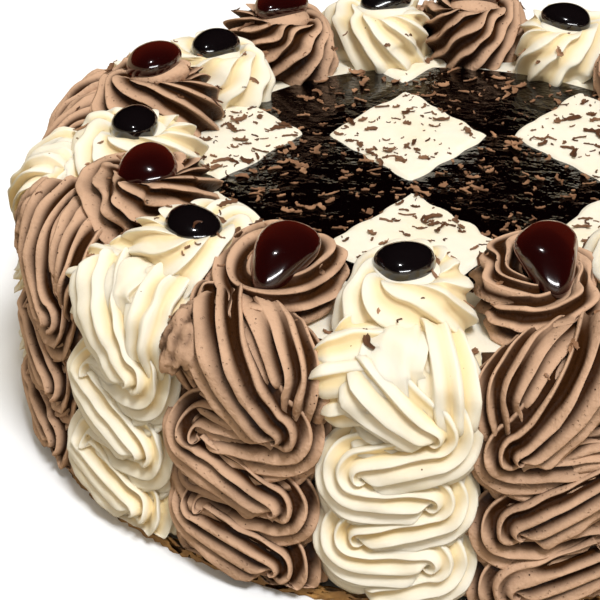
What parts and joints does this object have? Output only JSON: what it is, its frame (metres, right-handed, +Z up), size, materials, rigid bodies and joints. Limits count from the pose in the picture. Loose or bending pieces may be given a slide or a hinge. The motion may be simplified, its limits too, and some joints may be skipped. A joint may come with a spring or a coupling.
{
  "type": "black forest cake",
  "caption": "Round cream cake with ridged columns piped up the side, rosettes with glazed cherries on the shoulder and a net of dark cherry jelly diamonds on top.",
  "frame": {"origin": "middle of the cake's foot, on the plane it stands on", "axes": "+Z up; -Y towards the side that the picture shows, with a white column 4 degrees left of -Y"},
  "size_m": [0.279, 0.2794, 0.1029],
  "materials": {
    "white_cream": "whipped cream, soft satin",
    "chocolate_cream": "whipped chocolate cream with fine specks and pores, soft satin",
    "sponge": "golden baked crumb, matt",
    "jelly": "near-black cherry jelly, wet gloss",
    "black_cherry": "black cherry in glaze, wet gloss",
    "red_cherry": "dark red cherry in clear glaze, wet gloss"
  },
  "bodies": {
    "root": {"base_sponge": "sponge", "cake_core": "white_cream", "cherry_jelly": "jelly", "column_01": "white_cream", "rosette_01": "white_cream", "cherry_01": "black_cherry", "column_02": "chocolate_cream", "rosette_02": "chocolate_cream", "cherry_02": "red_cherry", "column_03": "white_cream", "rosette_03": "white_cream", "cherry_03": "black_cherry", "column_04": "chocolate_cream", "rosette_04": "chocolate_cream", "cherry_04": "red_cherry", "column_05": "white_cream", "rosette_05": "white_cream", "cherry_05": "black_cherry", "column_06": "chocolate_cream", "rosette_06": "chocolate_cream", "cherry_06": "red_cherry", "column_07": "white_cream", "rosette_07": "white_cream", "cherry_07": "black_cherry", "column_08": "chocolate_cream", "rosette_08": "chocolate_cream", "cherry_08": "red_cherry", "column_09": "white_cream", "rosette_09": "white_cream", "cherry_09": "black_cherry", "column_10": "chocolate_cream", "rosette_10": "chocolate_cream", "cherry_10": "red_cherry", "column_11": "white_cream", "rosette_11": "white_cream", "cherry_11": "black_cherry", "column_12": "chocolate_cream", "rosette_12": "chocolate_cream", "cherry_12": "red_cherry", "column_13": "white_cream", "rosette_13": "white_cream", "cherry_13": "black_cherry", "column_14": "chocolate_cream", "rosette_14": "chocolate_cream", "cherry_14": "red_cherry", "column_15": "white_cream", "rosette_15": "white_cream", "cherry_15": "black_cherry", "column_16": "chocolate_cream", "rosette_16": "chocolate_cream", "cherry_16": "red_cherry", "column_17": "white_cream", "rosette_17": "white_cream", "cherry_17": "black_cherry", "column_18": "chocolate_cream", "rosette_18": "chocolate_cream", "cherry_18": "red_cherry"}
  },
  "joints": []
}
